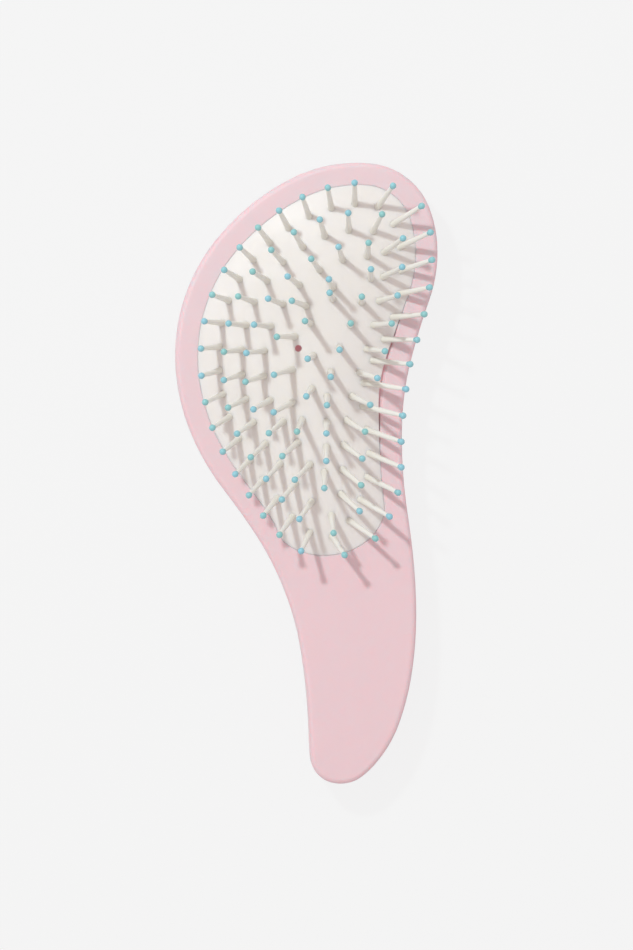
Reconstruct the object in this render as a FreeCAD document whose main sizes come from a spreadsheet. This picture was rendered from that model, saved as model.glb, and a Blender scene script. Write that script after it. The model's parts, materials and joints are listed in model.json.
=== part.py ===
"""Curved-handle detangling brush with an air cushion, lying on its back with its pins up.

A front shell and a back shell close on each other and clamp the flange of a rubber cushion.
94 moulded pins in four rings stand through holes in the cushion, and each ends in a ball tip.

Units are millimetres. X runs across the brush, Y from the handle to the head, Z up off the back.
"""
import FreeCAD, Part
import math
import os

Vector = FreeCAD.Vector

# Driving dimensions: every size that can be set by itself is written once, here.
SIZES = [
    ("overall_length", 185.0),
    ("overall_width", 78.0),
    ("body_depth", 17.0),
    ("split_height", 8.5),
    ("wall", 2.0),
    ("face_thickness", 2.0),
    ("front_round", 4.5),
    ("back_round", 5.0),
    ("front_inner_bevel", 1.2),
    ("back_inner_bevel", 1.8),
    ("tongue_gap", 0.15),
    ("tongue_thickness", 1.0),
    ("tongue_rise", 1.5),
    ("tongue_root", 2.0),
    ("post_radius", 2.7),
    ("spigot_radius", 1.45),
    ("spigot_length", 4.0),
    ("spigot_gap", 0.05),
    ("boss_radius", 3.2),
    ("bore_extra_depth", 1.0),
    ("rim_width", 6.6),
    ("neck_end_depth", 13.7),
    ("opening_bevel", 0.5),
    ("clamp_rib_offset", 0.6),
    ("clamp_rib_thickness", 1.4),
    ("cushion_gap", 0.25),
    ("cushion_thickness", 1.3),
    ("cushion_crown", 5.0),
    ("cushion_shoulder", 1.5),
    ("crown_reach", 27.0),
    ("cushion_sink", 0.3),
    ("flange_width", 2.6),
    ("flange_thickness", 1.6),
    ("vent_radius", 1.0),
    ("pin_length", 15.6),
    ("pin_foot_radius", 0.95),
    ("pin_end_radius", 0.6),
    ("pin_hole_gap", 0.08),
    ("pin_head_radius", 1.35),
    ("pin_head_thickness", 0.8),
    ("pin_head_gap", 0.1),
    ("tip_radius", 1.15),
    ("tip_cover", 0.3),
    ("lean_left", 21.5),
    ("lean_hollow_side", 18.0),
    ("hollow_along", 0.47),
    ("hollow_reach", 13.5),
    ("upright_along", 0.58),
    ("lean_toward_head", 0.6),
    ("lean_toward_handle", 21.0),
    ("lean_handle_reach", 40.0),
]

# The body's outline, counterclockwise. Each point is a share of the overall width and length,
# from the middle, with the heading there in degrees as it is drawn on a square of side 1.
HEAD_EDGE = [
    (0.380, -0.044, 106.9), (0.403, 0.189, 57.9), (0.499, 0.371, 99.4), (0.389, 0.474, 161.1),
    (0.083, 0.495, 185.0), (-0.121, 0.459, 194.8), (-0.473, 0.270, 236.0),
    (-0.407, 0.034, 321.3), (-0.213, -0.086, 328.1),
]
HANDLE_EDGE = [
    (-0.107, -0.165, 317.2), (0.012, -0.427, 273.5), (0.046, -0.486, 337.1),
    (0.153, -0.499, 3.8), (0.257, -0.471, 25.0), (0.405, -0.316, 71.6), (0.398, -0.098, 107.8),
]
# Where the posts stand, as shares of the same box.
POST_PLACES = [(0.155, -0.180), (0.200, -0.305), (0.170, -0.420)]

# On the box of the cushion: the line under its crown, the vent, and the loops of pins.
CROWN_LINE = [(0.09, 0.20), (-0.01, -0.07)]
VENT_PLACE = (-0.04, 0.06)
# Each ring: name, guide loop, pins in a group, groups, start, and lean on the hollow side.
RINGS = [
    ("outer_ring", [(0.26, 0.45), (-0.16, 0.35), (-0.38, 0.15), (-0.37, -0.10), (-0.18, -0.31),
                    (0.11, -0.45), (0.26, -0.33), (0.285, -0.20), (0.26, -0.06), (0.40, 0.15)],
     7, 5, 0.37, 35.0),
    ("second_ring", [(0.27, 0.38), (-0.03, 0.33), (-0.22, 0.21), (-0.30, 0.05), (-0.26, -0.12),
                     (-0.10, -0.27), (0.12, -0.39), (0.17, -0.20), (0.24, -0.01), (0.33, 0.18)],
     7, 4, 0.69, 19.0),
    ("third_ring", [(0.25, 0.31), (-0.02, 0.24), (-0.18, 0.10), (-0.18, -0.07), (-0.05, -0.19),
                    (0.06, -0.29), (0.09, -0.10), (0.18, 0.10)],
     7, 3, 0.77, -2.0),
    ("inner_ring", [(0.16, 0.23), (0.00, 0.18), (-0.07, 0.02), (-0.05, -0.15), (0.03, 0.03),
                    (0.05, 0.16)],
     5, 2, 0.29, -8.0),
]

# The facets of the cushion: how far out from the crown line each section of its crown lies,
# edge first, the turns of its shoulder's sections, and about how far apart corners are.
CROWN_SECTIONS = [0.85, 0.64, 0.40, 0.12]
SHOULDER_DEGREES = [0, 35, 70]
CORNER_SPACING = 5.0
NECK_END_DEGREES = [135.0, 90.0, 45.0]
SCALING_ROUNDS = 4
PIN_SIDES = 5
# Rings of corners on a ball tip, as shares of its radius: (height, corner radius).
TIP_BANDS = [(-0.40, 0.97), (0.40, 0.97), (0.88, 0.50)]

doc = FreeCAD.newDocument("detangling_brush")
sheet = doc.addObject("Spreadsheet::Sheet", "sizes")
for row, (alias, value) in enumerate(SIZES, start=1):
    sheet.set("A%d" % row, alias)
    sheet.set("B%d" % row, str(value))
    sheet.setAlias("B%d" % row, alias)
doc.recompute()


def size(alias):
    """The value of one driving dimension, as the sheet holds it."""
    return float(sheet.get(alias))


# ---------------------------------------------------------------- outlines

def closed_spline(points):
    """A smooth closed curve through the points."""
    curve = Part.BSplineCurve()
    curve.interpolate(Points=points, PeriodicFlag=True)
    return curve


def arc_between(start, end, heading):
    """The arc from one place to another that leaves in a heading."""
    chord = end - start
    turn = math.atan2(heading.x * chord.y - heading.y * chord.x, heading.dot(chord))
    bulge = Vector(chord.y, -chord.x, 0) * 0.5 * math.tan(turn / 2)
    return Part.Arc(start, (start + end) * 0.5 + bulge, end)


def tangent_arcs(outline):
    """A closed chain of tangent arcs through an outline's points, two between neighbours."""
    arcs = []
    for (start, leaving), (end, arriving) in zip(outline, outline[1:] + outline[:1]):
        chord = end - start
        ahead = chord.dot(leaving + arriving)
        bend = 2.0 * (1.0 - leaving.dot(arriving))
        reach = chord.dot(chord) / (ahead + math.sqrt(ahead ** 2 + bend * chord.dot(chord)))
        middle = (start + end + (leaving - arriving) * reach) * 0.5
        across = (end - middle + arriving * -reach).normalize()
        arcs.append(arc_between(start, middle, leaving))
        arcs.append(arc_between(middle, end, across))
    return arcs


def outline_wire(outline):
    """The tangent arcs of an outline, as one wire."""
    return Part.Wire([arc.toShape() for arc in tangent_arcs(outline)])


def box_of(outline):
    """The lowest and highest corners of an outline."""
    box = outline_wire(outline).optimalBoundingBox()
    return Vector(box.XMin, box.YMin, 0), Vector(box.XMax, box.YMax, 0)


def inset(outline, distance):
    """The outline moved inwards by a distance, or outwards if it is negative."""
    return [(point + Vector(-heading.y, heading.x, 0) * distance, heading)
            for point, heading in outline]


def corners_on(outline):
    """Corners along an outline, as many on each arc as on the same arc of the opening."""
    corners = []
    for arc, count in zip(tangent_arcs(outline), CORNER_COUNTS):
        step = (arc.LastParameter - arc.FirstParameter) / count
        corners += [arc.value(arc.FirstParameter + step * number) for number in range(count)]
    return corners


def on_box(share, low, high):
    """The point at a share of a box's sides, measured from its middle."""
    middle = (low + high) * 0.5
    return Vector(middle.x + share[0] * (high.x - low.x), middle.y + share[1] * (high.y - low.y), 0)


def stretched(outline, middle, across, along):
    """The outline moved to a new middle and stretched across and along the brush."""
    moved = []
    for point, heading in outline:
        place = point - middle
        turned_to = Vector(heading.x * across, heading.y * along, 0).normalize()
        moved.append((Vector(place.x * across, place.y * along, 0), turned_to))
    return moved


def fill_box(shares, width, length):
    """The outline in proportion to the shares, stretched until it fills the box exactly."""
    outline = []
    for x, y, degrees in shares:
        turn = math.radians(degrees)
        outline.append((Vector(x, y, 0), Vector(math.cos(turn), math.sin(turn), 0)))
    for _ in range(SCALING_ROUNDS):
        low, high = box_of(outline)
        across = width / (high.x - low.x)
        along = length / (high.y - low.y)
        outline = stretched(outline, (low + high) * 0.5, across, along)
    return outline


def opening_outline(body):
    """The opening's edge: the rim's width inside the head, and a round end across the neck."""
    head = inset(body, size("rim_width"))[:len(HEAD_EDGE)]
    right = head[0][0]
    left = head[-1][0]
    half = (right - left) * 0.5
    down = Vector(half.y, -half.x, 0).normalize() * size("neck_end_depth")
    end = []
    for degrees in NECK_END_DEGREES:
        turn = math.radians(degrees)
        place = (right + left) * 0.5 + half * math.cos(turn) + down * math.sin(turn)
        heading = half * math.sin(turn) - down * math.cos(turn)
        end.append((place, heading.normalize()))
    return head + end


def toward_crown_line(points, crown_line, share):
    """The outline drawn in to a share of its distance from the line under the crown."""
    start, end = crown_line
    line = end - start
    drawn = []
    for point in points:
        along = (point - start).dot(line) / line.dot(line)
        root = start + line * min(max(along, 0.0), 1.0)
        drawn.append(root + (point - root) * share)
    return drawn


BODY = fill_box(HEAD_EDGE + HANDLE_EDGE, size("overall_width"), size("overall_length"))
BODY_BOX = box_of(BODY)
POSTS = [on_box(share, *BODY_BOX) for share in POST_PLACES]
OPENING = opening_outline(BODY)
CORNER_COUNTS = [max(1, round(arc.length() / CORNER_SPACING)) for arc in tangent_arcs(OPENING)]
OPENING_BOX = box_of(OPENING)
LEDGE_HEIGHT = size("body_depth") - size("face_thickness")
CUSHION_EDGE = inset(OPENING, size("cushion_gap"))
CUSHION_INSIDE = inset(CUSHION_EDGE, size("cushion_thickness"))
CUSHION_LINE = [on_box(share, *OPENING_BOX) for share in CROWN_LINE]
EDGE_CORNERS = corners_on(CUSHION_EDGE)
EDGE_HEIGHT = size("body_depth") - size("cushion_sink")


# ---------------------------------------------------------------- sketches and features

def add_body(label):
    """An empty PartDesign body."""
    body = doc.addObject("PartDesign::Body", label)
    body.Label = label
    return body


def add_sketch(body, name, height, curves):
    """A sketch on a level plane whose height is an expression of the sheet."""
    sketch = body.newObject("Sketcher::SketchObject", body.Label + "_" + name)
    level = [plane for plane in body.Origin.OriginFeatures if plane.Role == "XY_Plane"][0]
    sketch.AttachmentSupport = [(level, "")]
    sketch.MapMode = "FlatFace"
    sketch.setExpression("AttachmentOffset.Base.z", height)
    for curve in curves:
        sketch.addGeometry(curve, False)
    return sketch


def circles(places, radius):
    """Equal circles at the given places."""
    return [Part.Circle(place, Vector(0, 0, 1), radius) for place in places]


def add_prism(body, kind, name, sketch, length, upward=True):
    """A Pad or a Pocket of a sketch, upward or downward, over a length from the sheet."""
    feature = body.newObject("PartDesign::" + kind, body.Label + "_" + name)
    feature.Profile = sketch
    feature.setExpression("Length", length)
    feature.Reversed = upward if kind == "Pocket" else not upward
    before = body.Shape.Volume if kind == "Pocket" else 0.0
    doc.recompute()
    if kind == "Pocket" and feature.Shape.Volume >= before:
        raise RuntimeError(feature.Label + " cuts nothing")
    return feature


def level_edges(shape, height, outline):
    """The names of a shape's edges that follow an outline at a height."""
    wire = outline_wire(outline)
    chosen = []
    for number, edge in enumerate(shape.Edges, start=1):
        middle = edge.valueAt((edge.FirstParameter + edge.LastParameter) / 2)
        if edge.BoundBox.ZLength < 0.01 and abs(middle.z - height) < 0.01:
            aside = wire.distToShape(Part.Vertex(middle.x, middle.y, 0))[0]
            if aside < 0.01:
                chosen.append("Edge%d" % number)
    return chosen


def add_dressing(body, kind, name, base, width, height, outline):
    """A Fillet or a Chamfer of the level edges that follow an outline at a height."""
    feature = body.newObject("PartDesign::" + kind, body.Label + "_" + name)
    feature.Base = (base, level_edges(base.Shape, height, outline))
    feature.setExpression("Radius" if kind == "Fillet" else "Size", width)
    doc.recompute()
    return feature


def add_solids(label, solids):
    """A sub-part that is a group of separate solids."""
    feature = doc.addObject("Part::Feature", label)
    feature.Label = label
    feature.Shape = Part.makeCompound(solids)
    feature.Placement = FreeCAD.Placement()
    return feature


# ---------------------------------------------------------------- front shell

def make_front_shell():
    """The face with the opening, its side wall, and posts that plug into the back shell."""
    body = add_body("front_shell")
    inside = inset(BODY, size("wall"))
    outline = add_sketch(body, "outline", "sizes.split_height", tangent_arcs(BODY))
    block = add_prism(body, "Pad", "block", outline, "sizes.body_depth - sizes.split_height")
    add_dressing(body, "Fillet", "outer_round", block, "sizes.front_round", size("body_depth"),
                 BODY)
    hollow = add_sketch(body, "hollow", "sizes.split_height", tangent_arcs(inside))
    cavity = add_prism(body, "Pocket", "cavity", hollow,
                       "sizes.body_depth - sizes.face_thickness - sizes.split_height")
    add_dressing(body, "Chamfer", "inner_bevel", cavity, "sizes.front_inner_bevel", LEDGE_HEIGHT,
                 inside)
    edge = add_sketch(body, "opening_edge", "sizes.body_depth", tangent_arcs(OPENING))
    opening = add_prism(body, "Pocket", "opening", edge, "sizes.face_thickness * 2", upward=False)
    add_dressing(body, "Chamfer", "opening_bevel", opening, "sizes.opening_bevel",
                 size("body_depth"), OPENING)
    roots = add_sketch(body, "post_roots", "sizes.split_height",
                       circles(POSTS, size("post_radius")))
    add_prism(body, "Pad", "posts", roots,
              "sizes.body_depth - sizes.face_thickness * 0.5 - sizes.split_height")
    ends = add_sketch(body, "spigot_ends", "sizes.split_height",
                      circles(POSTS, size("spigot_radius")))
    add_prism(body, "Pad", "spigots", ends, "sizes.spigot_length", upward=False)
    return body


# ---------------------------------------------------------------- back shell

def make_back_shell():
    """The back with its locating tongue, bosses, and the rib that clamps the cushion."""
    body = add_body("back_shell")
    inside = inset(BODY, size("wall"))
    tongue_outer = inset(BODY, size("wall") + size("tongue_gap"))
    tongue_inner = inset(tongue_outer, size("tongue_thickness"))
    rib_inner = inset(OPENING, -size("clamp_rib_offset"))
    rib_outer = inset(rib_inner, -size("clamp_rib_thickness"))
    outline = add_sketch(body, "outline", "0", tangent_arcs(BODY))
    block = add_prism(body, "Pad", "block", outline, "sizes.split_height")
    add_dressing(body, "Fillet", "outer_round", block, "sizes.back_round", 0.0, BODY)
    hollow = add_sketch(body, "hollow", "sizes.wall", tangent_arcs(inside))
    cavity = add_prism(body, "Pocket", "cavity", hollow, "sizes.split_height - sizes.wall")
    add_dressing(body, "Chamfer", "inner_bevel", cavity, "sizes.back_inner_bevel", size("wall"),
                 inside)
    root = add_sketch(body, "tongue_root", "sizes.split_height - sizes.tongue_root",
                      tangent_arcs(inset(BODY, size("wall") * 0.5)) + tangent_arcs(tongue_inner))
    add_prism(body, "Pad", "tongue_foot", root, "sizes.tongue_root")
    tongue = add_sketch(body, "tongue_edge", "sizes.split_height",
                        tangent_arcs(tongue_outer) + tangent_arcs(tongue_inner))
    add_prism(body, "Pad", "tongue", tongue, "sizes.tongue_rise")
    rib = add_sketch(body, "clamp_rib_edge", "sizes.wall * 0.5",
                     tangent_arcs(rib_outer) + tangent_arcs(rib_inner))
    add_prism(body, "Pad", "clamp_rib", rib, "sizes.body_depth - sizes.face_thickness"
              " - sizes.flange_thickness - sizes.wall * 0.5")
    foot = add_sketch(body, "boss_feet", "sizes.wall * 0.5", circles(POSTS, size("boss_radius")))
    add_prism(body, "Pad", "bosses", foot, "sizes.split_height - sizes.wall * 0.5")
    bore = add_sketch(body, "bore_mouths", "sizes.split_height",
                      circles(POSTS, size("spigot_radius") + size("spigot_gap")))
    add_prism(body, "Pocket", "bores", bore, "sizes.spigot_length + sizes.bore_extra_depth",
              upward=False)
    return body


# ---------------------------------------------------------------- cushion

def lifted(corners, height):
    """The corners at a height."""
    return [Vector(corner.x, corner.y, height) for corner in corners]


def crown_rise(share):
    """How far the crown stands above its edge, at a share of the way out to the edge."""
    return size("cushion_crown") * (1.0 - share ** 2)


def crown_sections(edge, height):
    """Level sections of the crown above an edge, up to its summit."""
    sections = []
    for share in CROWN_SECTIONS:
        drawn = toward_crown_line(edge, CUSHION_LINE, share)
        sections.append(lifted(drawn, height + crown_rise(share)))
    return sections


def shoulder_sections():
    """Level sections of the round shoulder between the cushion's side and its crown."""
    radius = size("cushion_shoulder")
    start = EDGE_HEIGHT - radius
    climb = radius + crown_rise(1.0 - radius / size("crown_reach"))
    sections = []
    for degrees in SHOULDER_DEGREES:
        turn = math.radians(degrees)
        edge = inset(CUSHION_EDGE, radius * (1.0 - math.cos(turn)))
        sections.append(lifted(corners_on(edge), start + climb * math.sin(turn)))
    return sections


def flat_face(corners):
    """A flat face with the given corners."""
    return Part.Face(Part.makePolygon(corners + corners[:1]))


def solid_of(faces):
    """The solid that a closed set of faces encloses."""
    solid = Part.makeSolid(Part.makeShell(faces))
    if solid.Volume < 0:
        solid.reverse()
    return solid


def faceted(sections):
    """A solid of flat triangles between level sections, closed at the first and the last."""
    faces = [flat_face(sections[0]), flat_face(sections[-1])]
    for low, high in zip(sections, sections[1:]):
        for number, corner in enumerate(low):
            after = (number + 1) % len(low)
            faces.append(flat_face([corner, low[after], high[after]]))
            faces.append(flat_face([corner, high[after], high[number]]))
    return solid_of(faces)


def make_cushion_form():
    """The membrane's outside with its clamped flange, and the space inside it."""
    below = LEDGE_HEIGHT - size("flange_thickness")
    flange = corners_on(inset(OPENING, -size("flange_width")))
    wall_foot = corners_on(CUSHION_INSIDE)
    inside_top = EDGE_HEIGHT - size("cushion_thickness")
    outer = [lifted(flange, below), lifted(flange, LEDGE_HEIGHT), lifted(EDGE_CORNERS, LEDGE_HEIGHT)]
    outer += shoulder_sections() + crown_sections(EDGE_CORNERS, EDGE_HEIGHT)
    corner = crown_rise(1.0 - size("cushion_thickness") / size("crown_reach"))
    inner = [lifted(wall_foot, below), lifted(wall_foot, inside_top + corner)]
    inner += crown_sections(EDGE_CORNERS, inside_top)
    outside = add_solids("cushion_outside", [faceted(outer)])
    inside = add_solids("cushion_inside", [faceted(inner)])
    return outside, inside


# ---------------------------------------------------------------- pins and tips

def turned(profile):
    """A many-sided turned solid along +Z from its closed profile of (height, corner radius)."""
    rings = []
    for height, radius in profile:
        ring = []
        for number in range(PIN_SIDES):
            turn = 2 * math.pi * number / PIN_SIDES
            ring.append(Vector(radius * math.cos(turn), radius * math.sin(turn), height))
        rings.append(ring)
    faces = [flat_face(rings[0]), flat_face(rings[-1])]
    for low, high in zip(rings, rings[1:]):
        for number in range(PIN_SIDES):
            after = (number + 1) % PIN_SIDES
            faces.append(flat_face([low[number], low[after], high[after], high[number]]))
    return solid_of(faces)


def crown_height(place):
    """The height of the cushion's outer surface over a place, by the law of its sections."""
    start, end = CUSHION_LINE
    line = end - start
    along = (place - start).dot(line) / line.dot(line)
    root = start + line * min(max(along, 0.0), 1.0)
    ray = place - root
    reach = max(ray.Length, 0.001)
    ray = ray / reach
    to_edge = None
    for near, far in zip(EDGE_CORNERS, EDGE_CORNERS[1:] + EDGE_CORNERS[:1]):
        side = far - near
        cross = ray.x * side.y - ray.y * side.x
        if abs(cross) > 1e-9:
            gap = near - root
            distance = (gap.x * side.y - gap.y * side.x) / cross
            share = (gap.x * ray.y - gap.y * ray.x) / cross
            if distance > 0 and 0 <= share <= 1:
                to_edge = distance
    return EDGE_HEIGHT + crown_rise(reach / to_edge)


def crown_normal(place):
    """The direction square to the cushion's outer surface over a place."""
    step = 0.5
    right = Vector(step, 0, 0)
    ahead = Vector(0, step, 0)
    across = crown_height(place + right) - crown_height(place - right)
    along = crown_height(place + ahead) - crown_height(place - ahead)
    return Vector(-across, -along, 2 * step).normalize()


def pin_direction(place, outward, hollow_lean):
    """The way a pin points: out over the rim, most of all on the head's hollow side."""
    low, high = OPENING_BOX
    hollow = (place.y - on_box((0, size("hollow_along") - 0.5), low, high).y) / size("hollow_reach")
    if outward.x < 0:
        side = size("lean_left")
    else:
        side = hollow_lean
        if hollow_lean > size("lean_left"):
            side += size("lean_hollow_side") * math.exp(-hollow ** 2)
    across = math.sin(math.radians(side)) * outward.x
    ahead = place.y - on_box((0, size("upright_along") - 0.5), low, high).y
    if ahead > 0:
        along = math.sin(math.radians(size("lean_toward_head") * ahead))
    else:
        reach = math.tanh(ahead / size("lean_handle_reach"))
        along = math.sin(math.radians(size("lean_toward_handle"))) * reach
    return Vector(across, along, math.sqrt(max(1 - across ** 2 - along ** 2, 0.0)))


def ring_stations(guide, count, start):
    """Equally spaced places round a ring, each with its outward direction."""
    curve = closed_spline([on_box(share, *OPENING_BOX) for share in guide])
    length = curve.length()
    stations = []
    for number in range(count):
        along = (number + start) / count % 1.0 * length
        parameter = curve.parameterAtDistance(along, curve.FirstParameter)
        tangent = curve.tangent(parameter)[0]
        stations.append((curve.value(parameter), Vector(tangent.y, -tangent.x, 0)))
    return stations


def place_upon(shape, place, direction):
    """A copy of a shape made along +Z, turned to a direction and set at a place."""
    turn = FreeCAD.Rotation(Vector(0, 0, 1), direction)
    return shape.transformed(FreeCAD.Placement(place, turn).toMatrix())


def stem_radius(height, head_drop):
    """The corner radius of a pin's tapered stem at a height above the cushion."""
    share = (height + head_drop) / (size("pin_length") + head_drop)
    return size("pin_foot_radius") + (size("pin_end_radius") - size("pin_foot_radius")) * share


def pin_form(head_drop):
    """A pin from its flared head under the cushion to its end inside the ball tip."""
    head = size("pin_head_radius")
    bottom = -head_drop - size("pin_head_thickness")
    return turned([(bottom, head), (-head_drop, size("pin_foot_radius")),
                      (size("pin_length"), size("pin_end_radius"))])


def tip_form(head_drop):
    """A ball tip with the socket that the pin's end fills."""
    radius = size("tip_radius")
    middle = size("pin_length") - size("tip_cover") * radius
    profile = [(size("pin_length"), size("pin_end_radius"))]
    mouth = middle - radius
    profile.append((mouth, stem_radius(mouth, head_drop)))
    for height, corner in TIP_BANDS:
        profile.append((middle + height * radius, corner * radius))
    return turned(profile)


def hole_form(slant):
    """The hole that a pin passes through at a slant, with its clearance."""
    radius = size("pin_foot_radius") + size("pin_hole_gap")
    reach = radius * math.tan(slant) + size("pin_hole_gap")
    depth = size("cushion_thickness") / math.cos(slant) + reach
    return turned([(-depth, radius), (reach, radius)])


def make_pins():
    """The pins and tips of every ring, in groups of neighbours, and the holes for the pins."""
    groups = []
    holes = []
    for name, guide, group_size, group_count, start, hollow_lean in RINGS:
        stations = ring_stations(guide, group_size * group_count, start)
        for group in range(group_count):
            pins = []
            tips = []
            for place, outward in stations[group * group_size:(group + 1) * group_size]:
                direction = pin_direction(place, outward, hollow_lean)
                foot = Vector(place.x, place.y, crown_height(place))
                slant = direction.getAngle(crown_normal(place))
                head_drop = (size("cushion_thickness") / math.cos(slant)
                             + size("pin_head_radius") * math.tan(slant) + size("pin_head_gap"))
                pins.append(place_upon(pin_form(head_drop), foot, direction))
                tips.append(place_upon(tip_form(head_drop), foot, direction))
                holes.append(place_upon(hole_form(slant), foot, direction))
            groups.append(("%s_pins_%d" % (name, group + 1), pins))
            groups.append(("%s_tips_%d" % (name, group + 1), tips))
    return groups, holes


def make_cushion(holes):
    """The membrane with the pins' holes and the vent."""
    outside, inside = make_cushion_form()
    vent_place = on_box(VENT_PLACE, *OPENING_BOX)
    vent = Part.makeCylinder(size("vent_radius"), 2 * size("body_depth"), vent_place)
    hollow = doc.addObject("Part::Cut", "cushion_membrane")
    hollow.Base = outside
    hollow.Tool = inside
    cushion = doc.addObject("Part::Cut", "cushion")
    cushion.Label = "cushion"
    cushion.Base = hollow
    cushion.Tool = add_solids("cushion_holes", holes + [vent])
    doc.recompute()
    return cushion


# ---------------------------------------------------------------- the whole brush

pin_groups, pin_holes = make_pins()
parts = [make_front_shell(), make_back_shell(), make_cushion(pin_holes)]
parts += [add_solids(label, solids) for label, solids in pin_groups]
doc.recompute()

for item in doc.Objects:
    if "Invalid" in item.State or "Error" in item.State:
        raise RuntimeError("%s is %s" % (item.Label, item.State))
for part in parts:
    if part.Shape.isNull() or not part.Shape.isValid():
        raise RuntimeError("%s has no valid shape" % part.Label)

os.makedirs("parts", exist_ok=True)
for part in parts:
    part.Shape.exportStep("parts/%s.step" % part.Label)
    print(part.Label, len(part.Shape.Solids), "solids", round(part.Shape.Volume, 1), "mm3")
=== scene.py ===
"""A curved detangling brush on a pale table: soft-touch shells, an air cushion, pins and tips.

Lengths are metres. X runs across the brush, Y from the handle to the head, Z up off the back.
"""
import json
import logging
import math
import random
from dataclasses import dataclass, field
from enum import Enum

import bmesh
import bpy
from bmesh.types import BMFace, BMVert, BMesh
from bpy.types import ID, Material, Mesh, Node, NodeSocket, NodeTree, Object
from mathutils import Matrix, Vector, noise


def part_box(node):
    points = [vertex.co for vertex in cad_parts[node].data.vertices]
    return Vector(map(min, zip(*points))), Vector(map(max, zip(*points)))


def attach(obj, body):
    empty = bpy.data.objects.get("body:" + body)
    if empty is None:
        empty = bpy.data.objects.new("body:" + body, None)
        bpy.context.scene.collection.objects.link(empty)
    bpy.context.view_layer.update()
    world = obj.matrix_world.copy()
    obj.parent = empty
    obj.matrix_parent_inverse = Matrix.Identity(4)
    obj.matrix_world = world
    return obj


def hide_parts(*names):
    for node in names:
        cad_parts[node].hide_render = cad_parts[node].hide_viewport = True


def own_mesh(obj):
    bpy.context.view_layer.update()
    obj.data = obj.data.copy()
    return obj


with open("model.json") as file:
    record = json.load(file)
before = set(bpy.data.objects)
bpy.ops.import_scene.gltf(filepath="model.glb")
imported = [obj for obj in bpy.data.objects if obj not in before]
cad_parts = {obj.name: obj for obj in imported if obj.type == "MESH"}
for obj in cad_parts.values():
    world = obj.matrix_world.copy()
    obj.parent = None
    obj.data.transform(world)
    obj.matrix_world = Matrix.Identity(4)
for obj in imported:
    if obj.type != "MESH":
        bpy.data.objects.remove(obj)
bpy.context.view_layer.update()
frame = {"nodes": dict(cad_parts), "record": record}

MM = 0.001
Colour = tuple[float, float, float, float]
Pair = tuple[float, float]
SAME_LEVEL = 0.005 * MM  # heights that differ by less are one level
SAME_PLACE = 0.002 * MM  # corners that are nearer than this are one corner
BODY = "brush"
PIN_BODY = "pins"
log = logging.getLogger("brush")


class PinLook(Enum):
    """Which of a pin's two mouldings a piece is."""

    STEM = "pins"
    TIP = "tips"


@dataclass(frozen=True)
class HollowSide:
    """Where the head's hollow side draws the opening's wall and the membrane apart."""

    middle: float = 28 * MM
    reach: float = 12 * MM

    def share(self, place: Vector) -> float:
        """Tell how much a place takes part, from 0 to 1 at the middle of the hollow side.

        Args:
            place: A corner of the opening.

        Returns:
            The share.
        """
        return math.exp(-((place.y - self.middle) / self.reach) ** 2) if place.x > 0 else 0.0


HOLLOW_SIDE = HollowSide()


# ---- small tools

def use_only(piece: Object) -> None:
    """Select one object and make it the active one.

    Args:
        piece: The object that the next operators act on.
    """
    bpy.ops.object.select_all(action="DESELECT")
    piece.select_set(True)
    bpy.context.view_layer.objects.active = piece


def add_object(name: str, data: ID) -> Object:
    """Put a mesh, a light or a camera into the scene as a new object at the origin.

    Args:
        name: The object's name.
        data: What the object is.

    Returns:
        The new object.
    """
    piece = bpy.data.objects.new(name, data)
    bpy.context.scene.collection.objects.link(piece)
    return piece


def merged_copy(node: str, name: str) -> Object:
    """Copy a CAD node into a new object whose triangles share their corners.

    Args:
        node: The CAD node's name.
        name: The new object's name.

    Returns:
        The new object.
    """
    mesh = frame["nodes"][node].data.copy()
    mesh.materials.clear()
    piece = add_object(name, mesh)
    use_only(piece)
    bpy.ops.object.mode_set(mode="EDIT")
    bpy.ops.mesh.select_all(action="SELECT")
    bpy.ops.mesh.customdata_custom_splitnormals_clear()
    bpy.ops.mesh.remove_doubles(threshold=SAME_PLACE)
    bpy.ops.object.mode_set(mode="OBJECT")
    return piece


def read_node(node: str) -> BMesh:
    """Read a CAD node's triangles, merged where they meet.

    Args:
        node: The CAD node's name.

    Returns:
        The triangles, for the caller to free.
    """
    piece = merged_copy(node, "reader")
    mesh = bmesh.new()
    mesh.from_mesh(piece.data)
    bpy.data.objects.remove(piece, do_unlink=True)
    return mesh


def write_numbers(mesh: Mesh, name: str, values: list[float]) -> None:
    """Give each corner of a mesh a number, under a name that a finish reads."""
    mesh.attributes.new(name, "FLOAT", "POINT").data.foreach_set("value", values)


def finish_smooth(piece: Object, degrees: float) -> None:
    """Shade a piece smooth apart from its sharp edges, with flat faces kept flat.

    Args:
        piece: The object to shade.
        degrees: The edge angle from which an edge stays sharp.
    """
    use_only(piece)
    bpy.ops.object.shade_smooth_by_angle(angle=math.radians(degrees))
    weighted = piece.modifiers.new("even_faces", "WEIGHTED_NORMAL")
    weighted.keep_sharp = True
    weighted.weight = 80
    bpy.ops.object.modifier_apply(modifier=weighted.name)


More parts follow.
